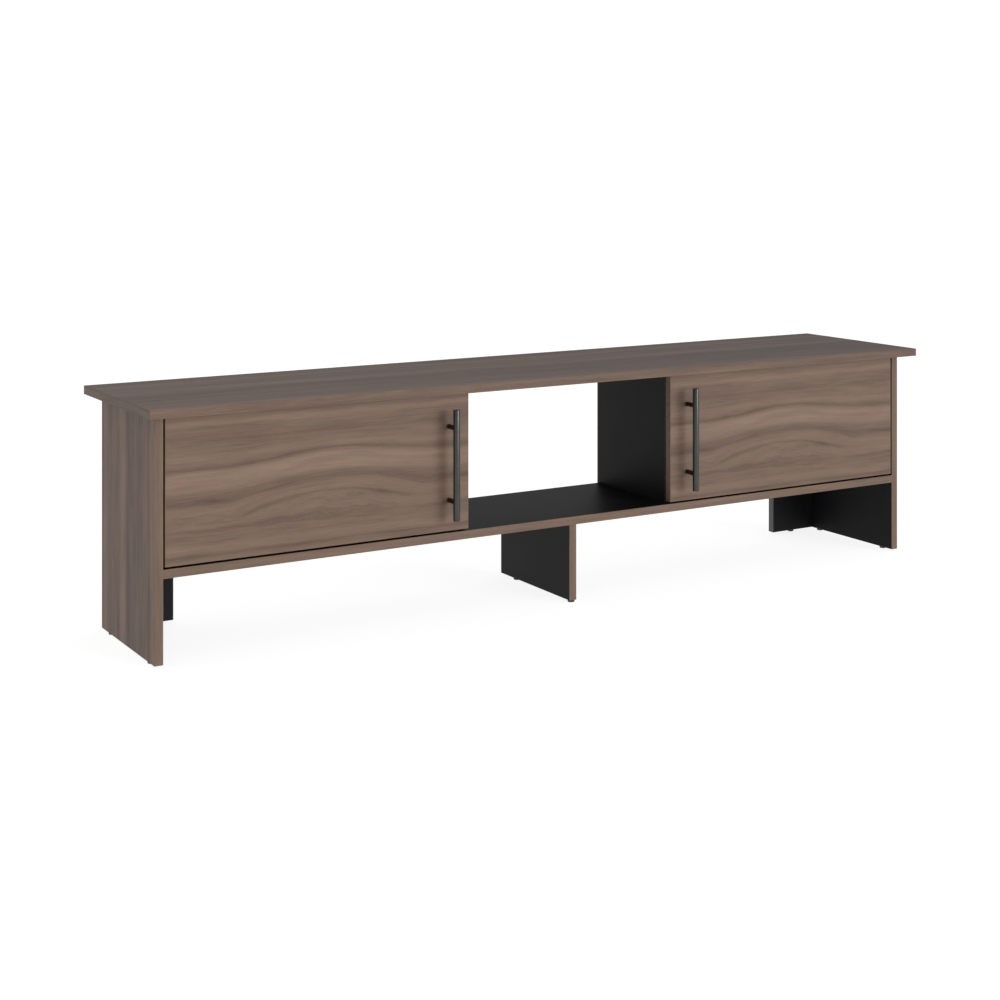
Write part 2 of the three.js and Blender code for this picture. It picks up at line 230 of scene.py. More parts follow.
# Bands across the grain, as (place, tone from 0 dark to 1 light). A place is in millimetres from a door's top
# edge, or from the back edge of a side panel or the top.
# the doors' first stops, at 0 and 8 mm from the top edge, are painted light: they lighten the strip under the
# top's overhang to offset the shade it casts there
DOOR_BANDS = (
    (0, 0.62), (8, 0.56), (15, 0.98), (24, 0.50), (32, 0.40), (42, 0.22), (53, 0.40), (66, 0.54), (77, 0.82),
    (83, 0.58), (87, 0.30), (91, 0.05), (95, 0.45), (99, 0.94), (111, 1.04), (125, 0.90), (131, 0.56),
    (140, 0.22), (147, 0.02), (153, 0.42), (160, 0.66), (173, 0.60), (179, 0.66), (187, 0.60),
    (192, 0.22), (200, 0.40), (212, 0.52), (222, 0.72), (229, 0.56), (233, 0.10), (245, 0.72),
)
SIDE_BANDS = (
    (0, 0.08), (9, 0.50), (20, 0.80), (33, 0.42), (51, 0.30), (69, 0.46), (84, 0.34), (90, 0.30), (99, 0.68),
    (106, 0.74), (118, 0.70), (126, 0.46), (133, 0.18), (142, 0.10), (150, 0.28), (165, 0.32), (180, 0.38),
    (192, 0.26), (210, 0.36), (221, 0.42), (232, 0.58), (238, 0.16), (243, 0.36), (250, 0.70), (268, 0.68),
)
TOP_BANDS = (
    (0, 0.10), (20, 0.20), (40, 0.35), (52, 0.74), (62, 0.66), (80, 0.38), (110, 0.42), (130, 0.60),
    (148, 0.80), (160, 0.50), (172, 0.28), (186, 0.05), (200, 0.16), (240, 0.26), (280, 0.36), (310, 0.50),
    (342, 1.00),
)

# Where the doors' bands bend, in millimetres from the left door's left and top edges, and by how much
HUMP_MIDDLE, HUMP_WIDTH, HUMP_LIFT = 310, 88, 17
ARCH_MIDDLE, ARCH_HALF_WIDTH, ARCH_LIFT = 293, 178, 25
ARCH_LINE, ARCH_LINE_WIDTH, ARCH_LINE_TONE = 176, 2.6, 0.5    # dark line round the arch

# Streaks of all the walnut: lengths along, across and through the board, detail, roughness, seed, strength
STREAKS = (
    ((110, 17, 40), 3, 0.55, 11, 0.20),
    ((200, 6, 40), 2, 0.5, 3, 0.13),
    ((70, 2.2, 40), 3, 0.65, 4, 0.20),
    ((22, 0.6, 40), 2, 0.6, 5, 0.14),
)
RING_SPACING, RING_TONE, PORE_TONE = 11, 0.07, 0.28


def walnut(name, grain, across, bands=None, figure=None, contrast=1, drift=3, streaks=1, seed=0,
           roughness=0.5, stretch=1, shift=0, fade=0, tint=(1, 1, 1)):
    """Printed walnut grain that runs along one axis, with its bands across another.

    contrast strengthens the bands, stretch lengthens the grain, shift lightens every tone, fade does so for
    each metre along the grain, and tint multiplies the colour. On the top, shift and tint are painted sheen.
    """
    look = Look(name, Roughness=roughness, IOR=1.45, Specular_IOR_Level=0.25)
    along, over = look.axis[grain], look.axis[across]
    third = look.axis[({"x", "y", "z"} - {grain, across}).pop()]
    ripple, arch = 0.6, None
    if figure:
        along, over, ripple, arch = figure(look, along, over)
    run = look.math("DIVIDE", along, stretch)
    flat = look.node("CombineXYZ", run, over, third).outputs[0]
    slow = look.swing(look.noise(flat, (150, 40, 60), 2, seed=seed + 1), drift)
    wave = look.math("MULTIPLY", look.swing(look.noise(flat, (48, 17, 60), 2, seed=seed + 2), 1), ripple)
    bent = look.sum(over, slow, wave)
    where = look.node("CombineXYZ", run, bent, third).outputs[0]

    if bands:
        width = bands[-1][0]
        stops = [(place / width, TONE_MIDDLE + contrast * (tone - TONE_MIDDLE)) for place, tone in bands]
        tone = look.ramp(look.math("DIVIDE", bent, width), stops)
    else:
        tone = look.noise(where, (300, 9, 9), 2, seed=seed + 9)
    waver = look.noise(where, (260, 26, 60), 2, seed=seed + 10)
    phase = look.math("MULTIPLY_ADD", waver, 2.4, look.math("DIVIDE", bent, RING_SPACING))
    ring = look.math("SINE", look.math("MULTIPLY", phase, 2 * math.pi))
    ring = look.math("POWER", look.math("MULTIPLY_ADD", ring, 0.5, 0.5), 4)
    tone = look.sum(
        tone,
        look.math("MULTIPLY", ring, -RING_TONE * streaks),
        *(
            look.swing(look.noise(where, lengths, detail, rough, seed=seed + own_seed), strength * streaks)
            for lengths, detail, rough, own_seed, strength in STREAKS
        ),
    )
    if arch:
        from_line = look.math("DIVIDE", look.math("SUBTRACT", bent, ARCH_LINE), ARCH_LINE_WIDTH)
        line = look.math("EXPONENT", look.math("MULTIPLY", look.math("MULTIPLY", from_line, from_line), -1))
        depth = look.math("MULTIPLY", line, look.math("MULTIPLY", arch, ARCH_LINE_TONE))
        tone = look.math("SUBTRACT", tone, depth)
    pores = look.ramp(look.noise(where, (7, 0.32, 30), 1, seed=seed + 6), ((0.60, 0.0), (0.72, 1.0)))
    tone = look.sum(
        look.math("MULTIPLY_ADD", pores, -PORE_TONE, tone),
        look.math("MULTIPLY_ADD", along, fade * MM, shift),
    )
    colour = look.ramp(look.math("MULTIPLY_ADD", tone, TONE_STEP, TONE_ZERO), WALNUT_TONES)
    hues = ((0.35, (1.04, 0.98, 0.985)), (0.50, (1.0, 1.0, 1.0)), (0.65, (0.98, 1.012, 0.97)))
    hue = look.ramp(
        look.noise(where, (240, 15, 60), 2, seed=seed + 7),
        [(place, tuple(a * b for a, b in zip(value, tint))) for place, value in hues],
    )
    tinted = look.node("Mix", data_type="RGBA", blend_type="MULTIPLY")
    tinted.inputs[0].default_value = 1
    look.put(tinted.inputs[6], colour)
    look.put(tinted.inputs[7], hue)
    look.put(look.shader.inputs["Base Color"], tinted.outputs[2])

    fibre = look.noise(where, (18, 0.45, 30), 2, seed=seed + 8)
    look.bump(look.math("MULTIPLY_ADD", pores, -1, fibre), 0.25, 0.06 * MM)
    look.put(look.shader.inputs["Roughness"], look.math("MULTIPLY_ADD", fibre, 0.12, roughness - 0.06))
    return look.material


def door_figure(shift_along, shift_over):
    """Bends the doors' bands over a low hump, and the lower ones into an arch with an eye under it.

    It gives the places along and across the bent grain, the ripple's size, and where the arch's line shows.
    """
    height = DOOR_BANDS[-1][0]

    def reach(look, over, stops):
        stops = [(place / height, value) for place, value in stops]
        return look.ramp(look.math("DIVIDE", over, height), stops)

    def bend(look, along, over):
        s = look.math("ADD", along, shift_along)
        t = look.math("ADD", over, shift_over)
        centred = look.math("DIVIDE", look.math("SUBTRACT", s, HUMP_MIDDLE), HUMP_WIDTH)
        hump = look.math("EXPONENT", look.math("MULTIPLY", look.math("MULTIPLY", centred, centred), -0.5))
        from_top = look.math("DIVIDE", look.math("SUBTRACT", s, ARCH_MIDDLE), ARCH_HALF_WIDTH)
        arch = look.math("SUBTRACT", 1, look.math("MULTIPLY", from_top, from_top))
        arch = look.math("SMOOTH_MAX", arch, 0, 0.1)
        lift = look.math("MULTIPLY", hump, reach(look, t, ((45, 0), (75, 1), (128, 1), (160, 0))))
        eye = look.math("MULTIPLY", arch, reach(look, t, ((112, 0), (150, 1), (158, 1), (196, 0))))
        curls = reach(look, t, ((145, 0), (165, 1), (190, 1), (205, 0)))
        bent = look.sum(t, look.math("MULTIPLY", lift, HUMP_LIFT), look.math("MULTIPLY", eye, ARCH_LIFT))
        shown = look.math("MINIMUM", look.math("MULTIPLY", arch, 3), 1)
        return s, bent, look.math("MULTIPLY_ADD", curls, 2.0, 0.8), shown

    return bend


def black_board():
    look = Look("black_laminate", Roughness=0.5, IOR=1.45, Specular_IOR_Level=0.11)
    mottle = look.noise(look.place, (55, 55, 55), 3, seed=1)
    grain = look.noise(look.place, (0.9, 0.9, 0.9), 2, seed=2)
    tone = look.math("MULTIPLY_ADD", mottle, 0.7, look.math("MULTIPLY", grain, 0.3))
    colour = look.ramp(tone, ((0.3, (0.0056, 0.0054, 0.0066)), (0.7, (0.0092, 0.0089, 0.0104))))
    look.put(look.shader.inputs["Base Color"], colour)
    look.put(look.shader.inputs["Roughness"], look.math("MULTIPLY_ADD", grain, 0.14, 0.40))
    look.bump(grain, 0.3, 0.04 * MM)
    return look.material


def chipboard():
    look = Look("raw_chipboard", Roughness=0.9)
    cells = look.node("TexVoronoi", feature="F1")
    look.put(cells.inputs["Vector"], look.vector("MULTIPLY", look.place, (0.5, 0.5, 0.9)))
    cells.inputs["Scale"].default_value = 1
    chips = look.node("SeparateColor", cells.outputs["Color"]).outputs[0]
    fine = look.noise(look.place, (1.2, 1.2, 0.6), 3, seed=3)
    tone = look.math("MULTIPLY_ADD", chips, 0.6, look.math("MULTIPLY", fine, 0.4))
    colour = look.ramp(
        tone, ((0.15, (0.16, 0.10, 0.055)), (0.55, (0.33, 0.23, 0.135)), (0.9, (0.5, 0.38, 0.25))),
    )
    look.put(look.shader.inputs["Base Color"], colour)
    look.bump(tone, 0.6, 0.2 * MM)
    return look.material


def hardboard():
    look = Look("raw_hardboard", Roughness=0.75)
    cloud = look.noise(look.place, (90, 90, 90), 3, seed=4)
    fibre = look.noise(look.place, (3.5, 3.5, 1.2), 4, 0.7, distortion=1.5, seed=5)
    speck = look.noise(look.place, (0.8, 0.8, 0.5), 2, seed=6)
    tone = look.sum(
        look.math("MULTIPLY", cloud, 0.2),
        look.math("MULTIPLY", fibre, 0.5),
        look.math("MULTIPLY", speck, 0.3),
    )
    colour = look.ramp(
        tone, ((0.34, (0.10, 0.058, 0.032)), (0.5, (0.17, 0.105, 0.060)), (0.66, (0.26, 0.17, 0.10))),
    )
    look.put(look.shader.inputs["Base Color"], colour)
    look.put(look.shader.inputs["Roughness"], look.math("MULTIPLY_ADD", speck, 0.2, 0.62))
    look.bump(tone, 0.5, 0.15 * MM)
    return look.material


def metal(name, dark, light, roughness, lengths, bump=0.15):
    """Metal with a fine finish whose marks are lengths millimetres long on each axis."""
    look = Look(name, Metallic=1, Roughness=roughness)
    marks = look.noise(look.place, lengths, 3, 0.6, seed=7)
    cloud = look.noise(look.place, (12, 12, 12), 2, seed=8)
    tone = look.math("MULTIPLY_ADD", marks, 0.6, look.math("MULTIPLY", cloud, 0.4))
    look.put(look.shader.inputs["Base Color"], look.ramp(tone, ((0.3, dark), (0.7, light))))
    look.put(look.shader.inputs["Roughness"], look.math("MULTIPLY_ADD", tone, 0.16, roughness - 0.08))
    look.bump(marks, bump, 0.02 * MM)
    return look.material


def plastic(name, dark, light, roughness):
    look = Look(name, Roughness=roughness, IOR=1.5)
    texture = look.noise(look.place, (0.5, 0.5, 0.5), 2, seed=9)
    look.put(look.shader.inputs["Base Color"], look.ramp(texture, ((0.35, dark), (0.65, light))))
    look.put(look.shader.inputs["Roughness"], look.math("MULTIPLY_ADD", texture, 0.15, roughness - 0.07))
    look.bump(texture, 0.3, 0.04 * MM)
    return look.material


# ---- Shapes ----

def piece(name, bm, looks, body, replaced=(), smooth=None):
    """Turns a bmesh in the frame's axes into a piece whose origin is its left, back, top corner."""
    corners = [v.co for v in bm.verts]
    origin = Vector((min(c.x for c in corners), max(c.y for c in corners), max(c.z for c in corners)))
    bmesh.ops.translate(bm, verts=bm.verts[:], vec=-origin)
    made = new_object(name, bm, looks)
    made.location = origin
    if smooth is not None:
        made.data.shade_smooth()
        made.data.set_sharp_from_angle(angle=math.radians(smooth))
    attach(made, body)
    if replaced:
        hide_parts(*replaced)
    return made


def cut_away(thing, cutter, own_crossings=False):
    """Cuts the cutter out of a thing, and removes the cutter."""
    modifier = thing.modifiers.new("cut", "BOOLEAN")
    modifier.operation = "DIFFERENCE"
    modifier.solver = "EXACT"
    modifier.material_mode = "TRANSFER"
    modifier.use_self = own_crossings
    modifier.object = cutter
    graph = bpy.context.evaluated_depsgraph_get()
    mesh = bpy.data.meshes.new_from_object(thing.evaluated_get(graph))
    thing.modifiers.clear()
    thing.data = mesh
    bpy.data.objects.remove(cutter)


def add_box(bm, low, high, rounding, segments=2):
    """Adds a box between two corners, with all its edges rounded."""
    made = bmesh.ops.create_cube(bm, size=1)["verts"]
    for vert in made:
        vert.co = Vector((l if c < 0 else h) for c, l, h in zip(vert.co, low, high))
    edges = {edge for vert in made for edge in vert.link_edges}
    bmesh.ops.bevel(bm, geom=list(edges), offset=rounding, segments=segments, profile=0.5, affect="EDGES")


def add_turned(bm, profile, base, direction, segments=32):
    """Adds a solid of revolution from (radius, height) points that start and end on the axis."""
    turn = Z.rotation_difference(direction).to_matrix()
    rings = []
    for radius, height in profile:
        if radius == 0:
            rings.append([bm.verts.new(base + turn @ Vector((0, 0, height)))])
            continue
        angles = [2 * math.pi * i / segments for i in range(segments)]
        rings.append([
            bm.verts.new(base + turn @ Vector((radius * math.cos(a), radius * math.sin(a), height)))
            for a in angles
        ])
    for lower, upper in zip(rings, rings[1:]):
        for i in range(segments):
            j = (i + 1) % segments
            corners = [
                lower[i % len(lower)], lower[j % len(lower)], upper[j % len(upper)], upper[i % len(upper)],
            ]
            bm.faces.new(list(dict.fromkeys(corners)))
    return rings


def add_plate(bm, outline, thickness, rounding=0.0):
    """Adds a flat plate: an outline of points in one plane, pushed along the vector thickness."""
    low = [bm.verts.new(point) for point in outline]
    high = [bm.verts.new(point + thickness) for point in outline]
    caps = [bm.faces.new(low[::-1]), bm.faces.new(high)]
    for i, vert in enumerate(low):
        j = (i + 1) % len(low)
        bm.faces.new([vert, low[j], high[j], high[i]])
    if rounding:
        edges = {edge for cap in caps for edge in cap.edges}
        bmesh.ops.bevel(bm, geom=list(edges), offset=rounding, segments=2, profile=0.5, affect="EDGES")


def arc(centre, radius, start, end, steps=8):
    """Points (a, b) of an arc round a centre, between two angles in degrees."""
    angles = [math.radians(start + (end - start) * i / steps) for i in range(steps + 1)]
    return [(centre[0] + radius * math.cos(t), centre[1] + radius * math.sin(t)) for t in angles]


def rounded_end(radius, height, rounding, direction, steps=4):
    """Profile points of a rounded rim at a height.

    Direction 1 leads up to an end face there, and -1 leads up from one.
    """
    angles = [math.pi / 2 * i / steps for i in range(steps + 1)]
    points = [
        (radius - rounding + rounding * math.cos(a), height + direction * rounding * (math.sin(a) - 1))
        for a in angles
    ]
    return points if direction > 0 else points[::-1]


def add_holes(board, holes, wall):
    """Cuts round blind holes, each (mouth, direction, depth, radius), in a board."""
    outside = 1 * MM    # how far the cutter stands out of the mouth
    bm = bmesh.new()
    for mouth, direction, depth, radius in holes:
        start, end = mouth - direction * outside, depth + outside
        add_turned(bm, [(0, 0), (radius, 0), (radius, end), (0, end)], start, direction, 40)
    cut_away(board, new_object("holes", bm, [wall]))


DIRECTION_WORDS = {"-x": "left", "+x": "right", "-y": "front", "+y": "back", "-z": "bottom", "+z": "top"}


def make_board(name, body, faces, bands, other, holes=()):
    """A CAD board as a core with a look for each face, and a strip of edge banding on each banded edge.

    faces and bands map a direction such as "-y" to a material. The bands listed first run to the board's
    ends.
    """
    low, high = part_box(name)
    for side, look in bands.items():
        axis = "xyz".index(side[1])
        strip_low, strip_high = low.copy(), high.copy()
        if side[0] == "-":
            low[axis] += BAND
            strip_high[axis] = low[axis]
        else:
            high[axis] -= BAND
            strip_low[axis] = high[axis]
        bm = bmesh.new()
        add_box(bm, strip_low, strip_high, BAND_ROUND)
        piece(f"{name}_band_{DIRECTION_WORDS[side]}", bm, [look], body)

    looks = [other, *faces.values()]
    bm = bmesh.new()
    add_box(bm, low, high, CORE_ROUND, 1)
    for face in bm.faces:
        face.normal_update()
        for side, look in faces.items():
            sign = -1 if side[0] == "-" else 1
            if face.normal["xyz".index(side[1])] * sign > 0.99:
                face.material_index = looks.index(look)
    core = piece(name + "_board", bm, looks, body, [name])
    if holes:
        add_holes(core, holes, other)
    return core


# ---- Boards ----

CAM_RADIUS, CAM_DEPTH = 7.5 * MM, 12 * MM
CAM_FROM_END = 24 * MM
CUP_RADIUS, CUP_DEPTH = 17.5 * MM, 11.5 * MM
SHANK_RADIUS, SHANK_DEPTH = 2 * MM, 16 * MM
GAP = 0.3 * MM    # room round what sits in a bore


def cam_bore(mouth, direction):
    return mouth, direction, CAM_DEPTH + GAP, CAM_RADIUS + GAP


def panel_cam_places(name):
    """Mouths of the cam locks' bores in a side panel's inner face."""
    low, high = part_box(f"{name}_side_panel")
    face = high.x if name == "left" else low.x
    cams = [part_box(f"{name}_top_cam_lock_{end}") for end in ("front", "back")]
    return [Vector((face, (lo.y + hi.y) / 2, lo.z + CAM_RADIUS)) for lo, hi in cams]


def bottom_cam_places():
    """Mouths of the cam locks' bores in the bottom panel's underside."""
    places = []
    for name, side in SIDES:
        for end in ("front", "back"):
            low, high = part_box(f"{name}_bottom_cam_lock_{end}")
            x = high.x - CAM_RADIUS if side < 0 else low.x + CAM_RADIUS
            places.append(Vector((x, (low.y + high.y) / 2, low.z)))
    return places


def upright_cam_places(node, face):
    """Mouths of two cam locks near the top of an upright board, in line with the side panels' ones."""
    low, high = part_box(node)
    x = high.x if face > 0 else low.x
    return [Vector((x, place.y, high.z - CAM_FROM_END)) for place in panel_cam_places("left")]


def door_bores(name):
    """Cup and screw bores in a door's back."""
    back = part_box(f"{name}_door")[1].y
    bores = []
    for end in ENDS:
        for node, depth, radius in (
            ("hinge_cup", CUP_DEPTH, CUP_RADIUS), ("handle_screw", SHANK_DEPTH, SHANK_RADIUS),
        ):
            low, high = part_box(f"{name}_{node}_{end}")
            mouth = Vector(((low.x + high.x) / 2, back, (low.z + high.z) / 2))
            bores.append((mouth, -Y, depth + GAP, radius + GAP))
    return bores


def make_boards(looks):
    black, raw = looks["black"], looks["raw"]
    edge_x, edge_y, edge_z = (looks["edge_" + axis] for axis in "xyz")
    edge_top, edge_end = looks["edge_top"], looks["edge_end"]
    make_board(
        "top_panel", "case", {"+z": looks["top"], "-z": black},
        {"-y": edge_top, "+y": edge_top, "-x": edge_end, "+x": edge_end}, raw,
    )
    make_board(
        "bottom_panel", "case", {"+z": black, "-z": black}, {"-y": edge_x, "+y": black}, raw,
        [cam_bore(place, Z) for place in bottom_cam_places()],
    )
    make_board(
        "centre_leg", "case", {"-x": black, "+x": black},
        {"-y": edge_z, "+y": black, "-z": black}, raw,
        [cam_bore(place, -X) for place in upright_cam_places("centre_leg", 1)],
    )
    for name, side in SIDES:
        outer, inner = ("-x", "+x") if side < 0 else ("+x", "-x")
        outward = side * X
        make_board(
            f"{name}_side_panel", "case", {outer: looks["side"], inner: black},
            {"-y": edge_z, "+y": edge_z, "-z": edge_y}, raw,
            [cam_bore(place, outward) for place in panel_cam_places(name)],
        )
        make_board(
            f"{name}_partition", "case", {"-x": black, "+x": black},
            {"-y": black, "+y": black}, raw,
            [cam_bore(place, -outward) for place in upright_cam_places(f"{name}_partition", side)],
        )
        make_board(
            f"{name}_rear_leg", "case", {"-y": black, "+y": black},
            {inner: looks["grey_edge"], "-z": black, "+z": black}, raw,
        )
        make_board(
            f"{name}_back_panel", "case", {"-y": black, "+y": looks["hardboard"]}, {},
            looks["hardboard"],
        )
        make_board(
            f"{name}_door", f"{name}_door", {"-y": looks[f"{name}_door"], "+y": black},
            {"-x": edge_z, "+x": edge_z, "-z": edge_x, "+z": edge_x}, raw, door_bores(name),
        )


# ---- Handles and feet ----

def make_handle(name, looks):
    """Round bar on two posts whose ends are saddled to it."""
    body = f"{name}_door"
    low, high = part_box(f"{name}_handle_bar")
    radius = (high.x - low.x) / 2
    length = high.z - low.z
    centre = Vector(((low.x + high.x) / 2, (low.y + high.y) / 2, low.z))
    rounding = 0.8 * MM
    bm = bmesh.new()
    profile = [
        (0, 0), *rounded_end(radius, 0, rounding, -1), *rounded_end(radius, length, rounding, 1), (0, length),
    ]
    add_turned(bm, profile, centre, Z, 64)
    piece(f"{name}_bar", bm, [looks["handle"]], body, [f"{name}_handle_bar"], smooth=35)

    for end in ENDS:
        low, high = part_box(f"{name}_handle_post_{end}")
        post = (high.x - low.x) / 2
        base = Vector((centre.x, high.y, (low.z + high.z) / 2))
        reach = base.y - centre.y
        foot = 0.4 * MM
        bm = bmesh.new()
        rings = add_turned(
            bm, [(0, 0), (post - foot, 0), (post, foot), (post, reach / 2), (post, reach), (0, reach)],
            base, -Y, 48,
        )
        for vert in [*rings[-2], *rings[-1]]:
            vert.co.y = centre.y + math.sqrt(radius ** 2 - (vert.co.x - centre.x) ** 2)
        piece(
            f"{name}_post_{end}", bm, [looks["handle"]], body,
            [f"{name}_handle_post_{end}"], smooth=35,
        )


def make_foot(node, looks):
    """Glide with a rounded rim, nailed into a board's edge."""
    low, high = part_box(node)
    foot_height, sole_round, rim_round = 4 * MM, 1.2 * MM, 0.3 * MM
    nail_radius, nail_point = 1 * MM, 2 * MM
    radius = (high.x - low.x) / 2
    centre = Vector(((low.x + high.x) / 2, (low.y + high.y) / 2, low.z))
    tip = high.z - low.z
    profile = [
        (0, 0), *rounded_end(radius, 0, sole_round, -1), *rounded_end(radius, foot_height, rim_round, 1),
        (nail_radius, foot_height), (nail_radius, tip - nail_point), (0, tip),
    ]
    bm = bmesh.new()
    add_turned(bm, profile, centre, Z, 48)
    piece(node + "_glide", bm, [looks["foot"]], "case", [node], smooth=35)


def make_bumper(node, looks):
    """Clear domed pad on a partition's front edge."""
    low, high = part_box(node)
    radius, height = (high.x - low.x) / 2, high.y - low.y
    base = Vector(((low.x + high.x) / 2, high.y, (low.z + high.z) / 2))
    dome = [(radius * math.cos(t), height * math.sin(t)) for t in (math.radians(15 * i) for i in range(1, 6))]
    bm = bmesh.new()
    add_turned(bm, [(0, 0), (radius, 0), *dome, (0, height)], base, -Y, 32)
    piece(node + "_dome", bm, [looks["pad"]], "case", [node], smooth=40)


# ---- Screws, nails and cam locks ----

def head_mesh(name, profile, look, slots=None):
    """Mesh of a round head on the plane z = 0.

    Its top can have cross slots of (half length, width, depth).
    """
    bm = bmesh.new()
    add_turned(bm, profile, Vector(), Z, 40)
    head = new_object(name, bm, [look])
    if slots:
        half, width, depth = slots
        top = max(height for _, height in profile)
        bm = bmesh.new()
        for reach in ((half, width / 2), (width / 2, half)):
            add_box(bm, (-reach[0], -reach[1], top - depth), (*reach, top + depth), width / 6, 1)
        cut_away(head, new_object("slots", bm, [look]), own_crossings=True)
    head.data.shade_smooth()
    head.data.set_sharp_from_angle(angle=math.radians(35))
    mesh = head.data
    bpy.data.objects.remove(head)
    return mesh


def pan_profile(radius, height):
    """Domed screw head that sits on a face, with a short shank behind it."""
    dome = [(radius * math.cos(t), height * math.sin(t)) for t in (math.radians(12 * i) for i in range(8))]
    return [(0, -height), (radius / 2, -height), (radius / 2, 0), *dome, (0, height)]


def countersunk_profile(radius, depth):
    """Flat screw head sunk to a depth in a face, with a thin cap that stands proud of it."""
    rim, proud = 0.3 * MM, 0.2 * MM
    return [
        (0, -depth), (radius / 2, -depth), (radius - rim, -rim), (radius, 0), (radius - proud, proud),
        (0, proud),
    ]


def drum_profile(radius, depth):
    """Cam lock's drum, level with the face that it is sunk in, with a chamfered rim."""
    chamfer = 0.4 * MM
    return [(0, -depth), (radius, -depth), (radius, -chamfer), (radius - chamfer, 0), (0, 0)]


def place_head(name, mesh, at, direction, body, turn=0.0):
    """Puts a head's mesh at a place, facing a direction and turned by an angle in degrees."""
    head = bpy.data.objects.new(name, mesh)
    spin = Matrix.Rotation(math.radians(turn), 4, "Z")
    head.matrix_world = Matrix.Translation(at) @ Z.rotation_difference(direction).to_matrix().to_4x4() @ spin
    bpy.context.scene.collection.objects.link(head)
    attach(head, body)


def make_fixings(heads):
    """Fixings that the frame leaves out.

    They are the cam locks of the partitions and the centre leg, the screws up into the partitions and through
    the rear legs into the bottom panel, and the nails of the back panels. The slots are turned by various
    angles.
    """
    proud = 0.05 * MM    # how far a cam lock stands out of its face
    partition_screw_inset, leg_screw_inset = 45 * MM, 25 * MM
    nail_inset, nail_rows = 30 * MM, 4
    for i, place in enumerate(upright_cam_places("centre_leg", 1)):
        place_head(
            f"centre_leg_cam_{i + 1}", heads["cam"], place + proud * X, X, "case",
            turn=20 + 35 * i,
        )
    bottom_low, bottom_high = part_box("bottom_panel")
    underside = bottom_low.z
    edge_middle = (bottom_low.z + bottom_high.z) / 2
    for name, side in SIDES:
        partition = f"{name}_partition"
        for i, place in enumerate(upright_cam_places(partition, side)):
            place_head(
                f"{partition}_cam_{i + 1}", heads["cam"], place + side * proud * X, side * X, "case",
                turn=10 + 50 * i,
            )
        low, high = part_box(partition)
        middle = (low.x + high.x) / 2
        for i, y in enumerate((low.y + partition_screw_inset, high.y - partition_screw_inset)):
            place_head(
                f"{partition}_screw_{i + 1}", heads["flat"], Vector((middle, y, underside)), -Z, "case",
                turn=30 * i,
            )

        leg_low, leg_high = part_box(f"{name}_rear_leg")
        for i, x in enumerate((leg_low.x + leg_screw_inset, leg_high.x - leg_screw_inset)):
            place_head(
                f"{name}_rear_leg_screw_{i + 1}", heads["flat"], Vector((x, leg_high.y, edge_middle)), Y,
                "case", turn=40 * i + 15,
            )

        # a row of nails up the partition, then one along the bottom panel as far as the rear leg
        back_low, back_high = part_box(f"{name}_back_panel")
        height = back_high.z - back_low.z - 2 * nail_inset
        nails = [
            (middle, back_low.z + nail_inset + height * i / (nail_rows - 1)) for i in range(nail_rows)
        ]
        free = leg_low.x - nail_inset if side > 0 else leg_high.x + nail_inset
        nails += [
            (middle + (free - middle) * i / nail_rows, edge_middle) for i in range(1, nail_rows + 1)
        ]
        for i, (x, z) in enumerate(nails):
            place_head(
                f"{name}_back_nail_{i + 1}", heads["nail"], Vector((x, back_high.y, z)), Y, "case",
            )


# ---- Hinges ----

class Hinge:
    """One concealed hinge. In millimetres, u runs in from the door's hinge edge and v back from its front."""

    def __init__(self, name, side, end):
        door_low, door_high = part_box(f"{name}_door")
        cup_low, cup_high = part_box(f"{name}_hinge_cup_{end}")
        self.name, self.side, self.end = name, side, end
        self.edge = door_low.x if side < 0 else door_high.x
        self.front, self.back = door_low.y, door_high.y
        self.cup_x = (cup_low.x + cup_high.x) / 2
        self.height = (cup_low.z + cup_high.z) / 2
        self.inward = -side * X

    def at(self, u, v, z=0.0):
        return Vector((self.edge - self.side * u * MM, self.front + v * MM, self.height + z * MM))

    def named(self, part):
        return f"{self.name}_hinge_{part}_{self.end}"


# Sizes of the hinges in millimetres, with places as Hinge.at takes them
WING_HALF_WIDTH, WING_HALF_LENGTH, WING_CORNER = 9, 31, 5
CUP_WALL, FLANGE = 1, 0.8
CUP_SCREW_FROM_MIDDLE = 24.5
LINK_PIVOT = (5.7, 18.6)
PIN_RADIUS, RIVET_HEIGHT = 1.2, 0.5
ARM_WEB, ARM_SHEET, ARM_HALF_HEIGHT = 9.0, 1.2, 7.1
ARM_FRONT, ARM_BACK, ARM_FOOT = 30, 86, 1
ARM_NOSE, ARM_HEEL = 2.4, 2    # radii of the cheeks' round ends, at the pin and at the back
ARM_SCREWS = (46, 74)
RAIL_FRONT, RAIL_BACK, RAIL_FACE, RAIL_HALF_HEIGHT = 38, 82, 6.5, 5
PLATE_MIDDLE, PLATE_HALF_WIDTH, PLATE_HALF_LENGTH, PLATE_CORNER, PLATE_SHEET = 52, 6, 26, 5, 2
PLATE_SCREW_FROM_MIDDLE = 16


